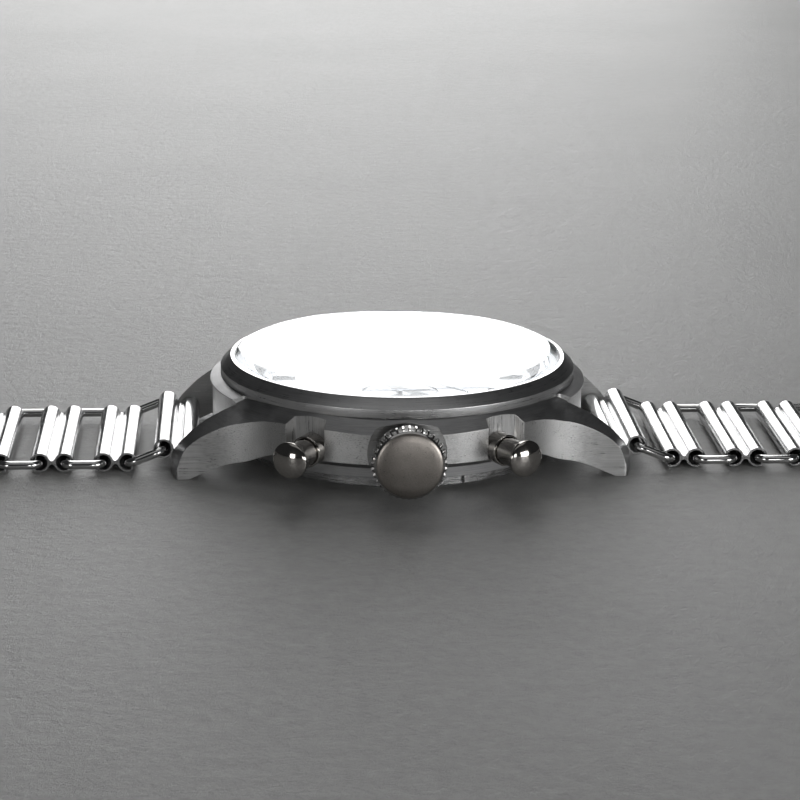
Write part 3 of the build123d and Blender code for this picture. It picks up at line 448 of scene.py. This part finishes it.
def make_crystal():
    outside = crystal_skin(wall_r=17.99, shoulder_r=16.6, shoulder_z=11.5, height=0.78, top_z=12.4)
    inside = crystal_skin(wall_r=16.9, shoulder_r=15.45, shoulder_z=10.36, height=0.28, top_z=11.25)
    piece("crystal_glass_dome", *lathe(outside + inside[::-1], 256), GLASS, "case", "crystal_glass",
          ("crystal",), 50.0)


INK_THICKNESS = 0.01
DIAL_Z = 7.9
SMALL_DIAL_Z = 7.8
SMALL_DIAL_Y = 6.3


def tick(angle, inner, outer, width, base, centre=(0, 0)):
    """One printed line, radial at this angle, as a very thin block."""
    a = math.radians(angle)
    along, across = Vector((math.cos(a), math.sin(a))), Vector((-math.sin(a), math.cos(a)))
    middle = Vector(centre)
    corners = [middle + along * r + across * w for r, w in
               ((inner, -width / 2), (outer, -width / 2), (outer, width / 2), (inner, width / 2))]
    verts = [(*c, base) for c in corners] + [(*c, base + INK_THICKNESS) for c in corners]
    sides = [(k, (k + 1) % 4, 4 + (k + 1) % 4, 4 + k) for k in range(4)]
    return verts, [(3, 2, 1, 0), (4, 5, 6, 7)] + sides


def scale_lines(count, inner, outer, width, base, centre=(0, 0)):
    """A round scale. Inner and width are pairs: for every fifth line, then for the others."""
    lines = []
    for index in range(count):
        kind = 0 if index % 5 == 0 else 1
        lines.append(tick(360 / count * index, inner[kind], outer, width[kind], base, centre))
    return joined(*lines)


def make_print():
    """The minute track and the scales of the two small dials."""
    track = scale_lines(60, inner=(14.15, 14.15), outer=14.7, width=(0.16, 0.07), base=DIAL_Z)
    piece("minute_track", *track, DIAL_INK, "case", "dial_lacquer")
    for name, y, count in (("small_seconds", SMALL_DIAL_Y, 60), ("minute_counter", -SMALL_DIAL_Y, 30)):
        scale = scale_lines(count, inner=(3.55, 3.75), outer=4.05, width=(0.09, 0.05),
                            base=SMALL_DIAL_Z, centre=(0, y))
        piece(f"{name}_scale", *scale, DIAL_INK, "case", "dial_lacquer")


make_case()
make_bezel()
make_crystal()
make_print()


# ---------------------------------------------------------------- crown and pushers

# The radius at which turned shapes close round their axis.
AXIS_R = 0.02


def radial_matrix(angle, height):
    """From a shape built along +Z to one on a radial line at this angle from -Y."""
    return (Matrix.Translation((0, 0, height)) @ Matrix.Rotation(math.radians(angle), 4, "Z")
            @ Matrix.Rotation(math.radians(90), 4, "X"))


def smooth_curve(points, steps=8):
    """Catmull-Rom points through an open outline."""
    made = []
    for index in range(len(points) - 1):
        p = [Vector(points[max(0, min(len(points) - 1, index + k))]) for k in (-1, 0, 1, 2)]
        a, b, c, d = p
        for step in range(steps):
            t = step / steps
            made.append(0.5 * (2 * b + (c - a) * t + (2 * a - 5 * b + 4 * c - d) * t * t
                               + (3 * b - a - 3 * c + d) * t ** 3))
    return made + [Vector(points[-1])]


KNURL_TEETH = 36
KNURL_ROOT_R = 3.56
KNURL_DEPTH = 0.39
# One tooth's profile: (place in the tooth's pitch, share of the full depth).
TOOTH = [(-0.5, 0), (-0.24, 0), (-0.19, 0.6), (-0.14, 1), (0.14, 1), (0.19, 0.6), (0.24, 0), (0.49, 0)]
# The teeth along the crown: (distance from the watch's axis, share of the full depth).
KNURL_ROWS = [(23.3, 0.0), (23.44, 1.0), (23.95, 1.0), (24.35, 0.65), (24.65, 0.05)]


def crown_knurl():
    """The coin edge: square teeth round the crown, chamfered at the back and tapered at the front."""
    verts, faces = [], []
    for z, rise in KNURL_ROWS:
        for tooth in range(KNURL_TEETH):
            for offset, up in TOOTH:
                angle = 2 * math.pi * (tooth + offset) / KNURL_TEETH
                radius = KNURL_ROOT_R + KNURL_DEPTH * up * rise
                verts.append((radius * math.cos(angle), radius * math.sin(angle), z))
    ring = KNURL_TEETH * len(TOOTH)
    rows = len(KNURL_ROWS)
    for row in range(rows - 1):
        for k in range(ring):
            n = (k + 1) % ring
            faces.append((row * ring + k, row * ring + n, (row + 1) * ring + n, (row + 1) * ring + k))
    faces.append(tuple(range(ring - 1, -1, -1)))
    faces.append(tuple(range((rows - 1) * ring, rows * ring)))
    return verts, faces


def make_crown():
    """The crown's domed head, hollow behind, with its stem and its coin edge."""
    place_it = radial_matrix(0, STEM_Z)
    body_r, hollow_r, back = 3.2, 1.56, 20.45
    stem_r, stem_root, stem_end = 0.6, 22.6, 9.6
    face_r, face_out = 3.48, 24.7
    front = smooth_curve([(AXIS_R, 25.17), (1.2, 25.155), (2.5, 25.06), (3.13, 24.94), (3.4, 24.84),
                          (3.52, 24.75)])
    rim = [(3.62, 24.68), (3.66, 24.62), (3.6, 24.55), (3.5, 24.5), (3.5, KNURL_ROWS[0][0])]
    behind = [(body_r, KNURL_ROWS[0][0]), (body_r, back), (hollow_r, back), (hollow_r, stem_root),
              (stem_r, stem_root), (stem_r, stem_end), (AXIS_R, stem_end)]
    verts, faces = lathe(front + rim + behind, 200)
    head = piece("crown_head", moved(verts, place_it), faces, CROWN_POLISHED, "crown",
                 "brushed_steel", ("crown",))
    # The crown's front face takes the darker steel; its dark colour is painted shade.
    head.data.materials.append(CROWN_FACE_SHADED)
    for face in head.data.polygons:
        x, y, z = millimetres(face.center)
        if y < -face_out and math.hypot(x, z - STEM_Z) < face_r:
            face.material_index = 1
    verts, faces = crown_knurl()
    piece("crown_coin_edge", moved(verts, place_it), faces, CROWN_POLISHED, "crown", "brushed_steel",
          smooth_angle=25.0)


def make_pusher(name, side):
    """Makes one pusher. Returns its collar, which belongs to the case's tubes."""
    place_it = radial_matrix(side * PUSHER_ANGLE, PUSHER_Z)
    dome_r, dome_centre, dome_edge_r, dome_steps = 3.6, 22.1, 1.87, 14
    neck_r, stem_r, stem_root, stem_end = 1.45, 0.6, 20.74, 16.9
    dome = []
    for step in range(dome_steps + 1):
        r = AXIS_R + (dome_edge_r - AXIS_R) * step / dome_steps
        dome.append((r, dome_centre + math.sqrt(dome_r ** 2 - r ** 2)))
    # The first and the last corner lie on the dome and the neck, so their arcs are left off.
    arc = CORNER_STEPS + 1
    skirt = rounded([(dome_edge_r, 25.17), (1.97, 25.05), (1.97, 24.76), (1.85, 24.61),
                     (neck_r, 24.36)], 0.05)[arc:-arc]
    neck = [(1.40, 24.36), (1.40, 24.20), (neck_r, 24.15), (neck_r, 23.4), (neck_r, 20.76),
            (stem_r, stem_root), (stem_r, stem_end), (AXIS_R, stem_end)]
    verts, faces = lathe(dome + skirt + neck, 96)
    piece(f"{name}_pusher_cap", moved(verts, place_it), faces, PUSHER_POLISHED, f"{name}_pusher",
          "polished_steel", (f"{name}_pusher",), 40.0)
    bore_r, collar_r, chamfer, root, end = 1.5, 1.69, 0.09, 18.2, 21.59
    collar = [(bore_r, root), (collar_r, root), (collar_r, end - chamfer), (collar_r - chamfer, end),
              (bore_r, end)]
    verts, faces = lathe(rounded(collar, 0.03), 96)
    return moved(verts, place_it), faces


def crown_tube():
    bore_r, tube_r, root, end = 0.66, 1.49, 16.0, 22.18
    outline = [(bore_r, root), (tube_r, root), (tube_r, end), (bore_r, end)]
    verts, faces = lathe(rounded(outline, 0.08), 64)
    return moved(verts, radial_matrix(0, STEM_Z)), faces


make_crown()
tubes = joined(make_pusher("start", 1), make_pusher("reset", -1), crown_tube())
piece("crown_and_pusher_tubes", *tubes, PUSHER_POLISHED, "case", "polished_steel", ("case_tubes",))


# ---------------------------------------------------------------- bracelet

TUBE_R = 1.08
SHEET = 0.25
TUBE_SPACING = 2.61
RING_SPACING = 4.21
WIRE_R = 0.47
RING_HALF_LENGTH = 10.3
RING_CORNER_R = 1.2
BAR_AXIS = (23.2, 1.98)
TILT = math.radians(15)
RAISED_AXIS = (BAR_AXIS[0] + TUBE_SPACING * math.cos(TILT), BAR_AXIS[1] + TUBE_SPACING * math.sin(TILT))
FIRST_TUBE_X = 29.655
LINK_PITCH = TUBE_SPACING + RING_SPACING
END_LINK_LENGTH = 19.4
LINK_LENGTH = 19.0
CURL_FROM, CURL_SWEEP = -28, 328


def link_axes(index):
    inner = FIRST_TUBE_X + index * LINK_PITCH
    return (inner, TUBE_R), (inner + TUBE_SPACING, TUBE_R)


def between(start, end, side):
    """The move from a piece centred between two Y axes to these (x, z) points, on either side."""
    tilt = math.atan2(end[1] - start[1], end[0] - start[0])
    middle = ((start[0] + end[0]) / 2, 0, (start[1] + end[1]) / 2)
    put = Matrix.Translation(middle) @ Matrix.Rotation(-tilt, 4, "Y")
    return Matrix.Scale(-1, 4, (1, 0, 0)) @ put if side < 0 else put


def curl_section(side):
    """One rolled tube's section: a sheet from the waist over the top, round and under, open outwards."""
    half = side * TUBE_SPACING / 2
    mid = TUBE_R - SHEET / 2
    steps = 48
    outer, inner = [], []
    for step in range(steps + 1):
        angle = math.radians(CURL_FROM + step / steps * CURL_SWEEP)
        c, s = math.cos(angle), math.sin(angle)
        outer.append((half + side * (mid + SHEET / 2) * c, (mid + SHEET / 2) * s))
        inner.append((half + side * (mid - SHEET / 2) * c, (mid - SHEET / 2) * s))
    return outer, inner


def extruded(outline, length, bevel):
    """A closed (x, z) outline drawn along Y, with a small chamfer at both ends."""
    count = len(outline)
    centre = Vector((sum(p[0] for p in outline) / count, sum(p[1] for p in outline) / count))
    normals = []
    for index in range(count):
        a, b = Vector(outline[index - 1]), Vector(outline[(index + 1) % count])
        along = (b - a).normalized()
        normals.append(Vector((along[1], -along[0])))
    area = sum(outline[i - 1][0] * outline[i][1] - outline[i][0] * outline[i - 1][1] for i in range(count))
    sign = 1 if area > 0 else -1
    rows = [(-length / 2, bevel), (-length / 2 + bevel, 0), (length / 2 - bevel, 0), (length / 2, bevel)]
    verts, faces = [], []
    for y, inset in rows:
        for point, normal in zip(outline, normals):
            verts.append((point[0] - sign * normal[0] * inset, y, point[1] - sign * normal[1] * inset))
    for row in range(len(rows) - 1):
        for k in range(count):
            n = (k + 1) % count
            faces.append((row * count + k, row * count + n, (row + 1) * count + n, (row + 1) * count + k))
    return verts, faces, count


def curl_shape(side, length):
    """A rolled tube: the C-shaped section drawn along Y, with its ends closed between the two skins."""
    outer, inner = curl_section(side)
    outline = outer + inner[::-1]
    verts, faces, count = extruded(outline, length, 0.04)
    half = len(outer)
    for row in (0, 3):
        for k in range(half - 1):
            base = row * count
            faces.append((base + k, base + k + 1, base + count - 2 - k, base + count - 1 - k))
    return verts, faces


def web_shape(length):
    """The waist that joins the two tubes: a sheet with a hollow top and bottom."""
    reach = TUBE_SPACING / 2 - TUBE_R * 0.80
    middle, flare = 0.20, 0.42
    steps = 12
    top = []
    for step in range(steps + 1):
        x = -reach + 2 * reach * step / steps
        top.append((x, middle + flare * (x / reach) ** 2))
    outline = top + [(x, -z) for x, z in reversed(top)]
    verts, faces, count = extruded(outline, length - 0.1, 0.03)
    for row in (0, 3):
        base = row * count
        for k in range(steps):
            faces.append((base + k, base + k + 1, base + count - 2 - k, base + count - 1 - k))
    return verts, faces


def link_shape(length):
    return joined(curl_shape(1, length), curl_shape(-1, length), web_shape(length))


def ring_shape(spacing):
    """A closed wire ring: a round section carried round a rounded rectangle."""
    half_x, half_y, corner = spacing / 2, RING_HALF_LENGTH, RING_CORNER_R
    corner_steps, longest_step, around = 10, 1.5, 20
    path = []
    for quarter, (cx, cy) in enumerate([(1, 1), (-1, 1), (-1, -1), (1, -1)]):
        for step in range(corner_steps + 1):
            angle = math.radians(90 * (quarter + step / corner_steps))
            path.append((cx * (half_x - corner) + corner * math.cos(angle),
                         cy * (half_y - corner) + corner * math.sin(angle)))
    spread = []
    for index in range(len(path)):
        a, b = Vector(path[index]), Vector(path[(index + 1) % len(path)])
        spread.append(a)
        parts = int((b - a).length / longest_step)
        for k in range(1, parts):
            spread.append(a.lerp(b, k / parts))
    verts, faces = [], []
    count = len(spread)
    for index in range(count):
        tangent = (spread[(index + 1) % count] - spread[index - 1]).normalized()
        outward = Vector((tangent[1], -tangent[0]))
        for k in range(around):
            angle = 2 * math.pi * k / around
            off = outward * math.cos(angle) * WIRE_R
            verts.append((spread[index][0] + off[0], spread[index][1] + off[1], math.sin(angle) * WIRE_R))
    for index in range(count):
        n = (index + 1) % count
        for k in range(around):
            m = (k + 1) % around
            faces.append((index * around + k, n * around + k, n * around + m, index * around + m))
    return verts, faces


def paint_tube_inside_shade(link_piece, centres):
    """Gives the inner skins of a link's tubes a rougher steel, darkened with painted shade."""
    skin_r, end_face_normal = TUBE_R - SHEET * 0.6, 0.5
    link_piece.data.materials.append(TUBE_INSIDE_SHADE)
    for face in link_piece.data.polygons:
        x, y, z = millimetres(face.center)
        for centre in centres:
            inside = math.hypot(x - centre[0], z - centre[1]) < skin_r
            if inside and abs(face.normal.y) < end_face_normal:
                face.material_index = 1


def make_link(name, body, start, end, side, length, node):
    verts, faces = link_shape(length)
    made = piece(name, moved(verts, between(start, end, side)), faces, TUBE_STEEL, body, "link_steel",
                 (node,), 40.0)
    paint_tube_inside_shade(made, [(side * start[0], start[1]), (side * end[0], end[1])])


def make_ring(name, body, start, end, side, node):
    verts, faces = ring_shape(math.dist(start, end))
    piece(name, moved(verts, between(start, end, side)), faces, WIRE_STEEL, body, "wire_steel",
          (node,), 60.0)


def ring_ends(index):
    return (RAISED_AXIS if index == 0 else link_axes(index - 1)[1]), link_axes(index)[0]


for clock, side in (("12", 1), ("6", -1)):
    make_link(f"end_link_{clock}_rolled", f"end_link_{clock}", BAR_AXIS, RAISED_AXIS, side,
              END_LINK_LENGTH, f"end_link_{clock}")
    for index in range(4):
        ring, link = f"ring_{clock}_{index + 1}", f"link_{clock}_{index + 1}"
        make_ring(f"{ring}_wire", ring, *ring_ends(index), side, ring)
        make_link(f"{link}_rolled", link, *link_axes(index), side, LINK_LENGTH, link)
make_ring("clasp_ring_wire", "clasp_ring", *ring_ends(4), 1, "clasp_ring")
for index in range(4, 8):
    make_ring(f"tail_ring_{index + 1}_wire", "tail_6", *ring_ends(index), -1, "tail_rings_6")
for index in range(4, 7):
    make_link(f"tail_link_{index + 1}_rolled", "tail_6", *link_axes(index), -1, LINK_LENGTH,
              "tail_links_6")


# ---------------------------------------------------------------- kept CAD nodes

finish_node(PLATE_STEEL, "clasp_plate", "clasp_cover")
finish_node(CASEBACK_STEEL, "caseback")
finish_node(PUSHER_POLISHED, "spring_bar_12", "spring_bar_6")
finish_node(NYLON, "crystal_gasket")
finish_node(RUBBER, "caseback_gasket")
finish_node(REHAUT_METAL, "rehaut_ring")
finish_node(DIAL_LACQUER, "dial")
finish_node(MARKER_STEEL, "dial_markers")
finish_node(HAND_STEEL, "hour_hand", "minute_hand", "running_seconds_hand", "minute_counter_hand")
finish_node(BLUED_STEEL, "chrono_seconds_hand")
finish_node(NICKEL, "movement_ring", "main_plate", "train_bridge", "barrel_bridge", "balance_cock")
finish_node(BRASS, "center_wheel", "third_wheel", "fourth_wheel", "barrel", "balance_wheel")
finish_node(WORKS_STEEL, "escape_wheel", "pallet_fork", "ratchet_wheel", "crown_wheel", "column_wheel",
            "winding_pinion", "pusher_springs")


# ---------------------------------------------------------------- stage, light and camera

FLOOR_REACH = 6.0
FLOOR_DROP = 0.00002


def stone(name):
    s = Shader(name)
    wide = s.noise(place(s), 14.0, 5.0, 0.6)
    fine = s.noise(place(s), 520.0, 8.0, 0.8)
    shade = s.math("ADD", s.spread(wide, 0.1, 0.6), s.spread(fine, -0.45, 0.75), clamp=True)
    height = s.add("ShaderNodeBump", {"Height": fine, "Strength": 0.7, "Distance": 0.0006})
    body = s.add("ShaderNodeBsdfPrincipled", {
        "Base Color": s.tint(shade, (0.225, 0.225, 0.22), (0.33, 0.33, 0.325)),
        "Roughness": s.spread(fine, 0.36, 0.52), "Normal": height.outputs["Normal"],
    })
    s.feed(s.out.inputs["Surface"], body.outputs["BSDF"])
    return s.material


def make_floor():
    mesh = bpy.data.meshes.new("table_top")
    corners = [(FLOOR_REACH * x, FLOOR_REACH * y, 0) for x, y in ((-1, -1), (1, -1), (1, 1), (-1, 1))]
    mesh.from_pydata(corners, [], [(0, 1, 2, 3)])
    mesh.materials.append(stone("pale_stone"))
    floor = bpy.data.objects.new("table_top", mesh)
    floor.location.z = -FLOOR_DROP
    scene.collection.objects.link(floor)


WORLD_COLOUR = (0.95, 0.97, 1.0, 1.0)
WORLD_STRENGTH = 0.03
# Each light: azimuth from the crown's side and elevation in degrees, distance and the height that
# it is aimed at in metres, size in metres, and power in watts.
LIGHTS = {
    "back_softbox": (180, 31, 0.75, 0, (0.38, 0.80), 3.6),
    "top_softbox": (180, 84, 0.60, 0, (0.30, 0.08), 0.20),
    "front_fill": (0, 62, 0.60, 0, (0.90, 0.34), 0.30),
    "left_strip": (-36, 6, 0.6, 0.005, (0.16, 0.12), 0.38),
    "front_card": (8, 5, 0.6, 0.005, (0.16, 0.10), 0.27),
    "right_card": (44, 6, 0.6, 0.005, (0.26, 0.12), 1.30),
}


def seen_from(azimuth, elevation, distance):
    """A point at this azimuth from the crown's side, elevation and distance. Angles in radians."""
    return Vector((math.sin(azimuth) * math.cos(elevation), -math.cos(azimuth) * math.cos(elevation),
                   math.sin(elevation))) * distance


def area_light(name, azimuth, elevation, distance, target_z, size, power):
    data = bpy.data.lights.new(name, "AREA")
    data.shape = "RECTANGLE"
    data.size, data.size_y = size
    data.energy = power
    lamp = bpy.data.objects.new(name, data)
    lamp.location = seen_from(math.radians(azimuth), math.radians(elevation), distance)
    lamp.rotation_mode = "QUATERNION"
    lamp.rotation_quaternion = (Vector((0, 0, target_z)) - lamp.location).to_track_quat("-Z", "Y")
    scene.collection.objects.link(lamp)


def make_light():
    world = bpy.data.worlds.new("studio")
    world.use_nodes = True
    background = world.node_tree.nodes["Background"]
    background.inputs["Color"].default_value = WORLD_COLOUR
    background.inputs["Strength"].default_value = WORLD_STRENGTH
    scene.world = world
    for name, settings in LIGHTS.items():
        area_light(name, *settings)


def make_camera():
    """The photo's camera, as fitted to the watch's outlines in it."""
    azimuth, elevation, roll = math.radians(-3.3), math.radians(15.62), math.radians(0.49)
    distance, focal_px, frame_px, sensor_mm = 303.0, 2714.0, 800.0, 36.0
    target = Vector((0.35, 0.0, 5.21))
    back = seen_from(azimuth, elevation, 1.0)
    right = (-back).cross(Vector((0, 0, 1))).normalized()
    up = right.cross(-back)
    turned_right = right * math.cos(roll) + up * math.sin(roll)
    turned_up = -right * math.sin(roll) + up * math.cos(roll)
    data = bpy.data.cameras.new("camera")
    data.sensor_width = sensor_mm
    data.lens = sensor_mm * focal_px / frame_px
    data.clip_start, data.clip_end = 0.01, 20.0
    camera = bpy.data.objects.new("camera", data)
    turn = Matrix((turned_right, turned_up, back)).transposed().to_4x4()
    camera.matrix_world = Matrix.Translation((target + back * distance) * MM) @ turn
    scene.collection.objects.link(camera)
    scene.camera = camera


make_floor()
make_light()
make_camera()
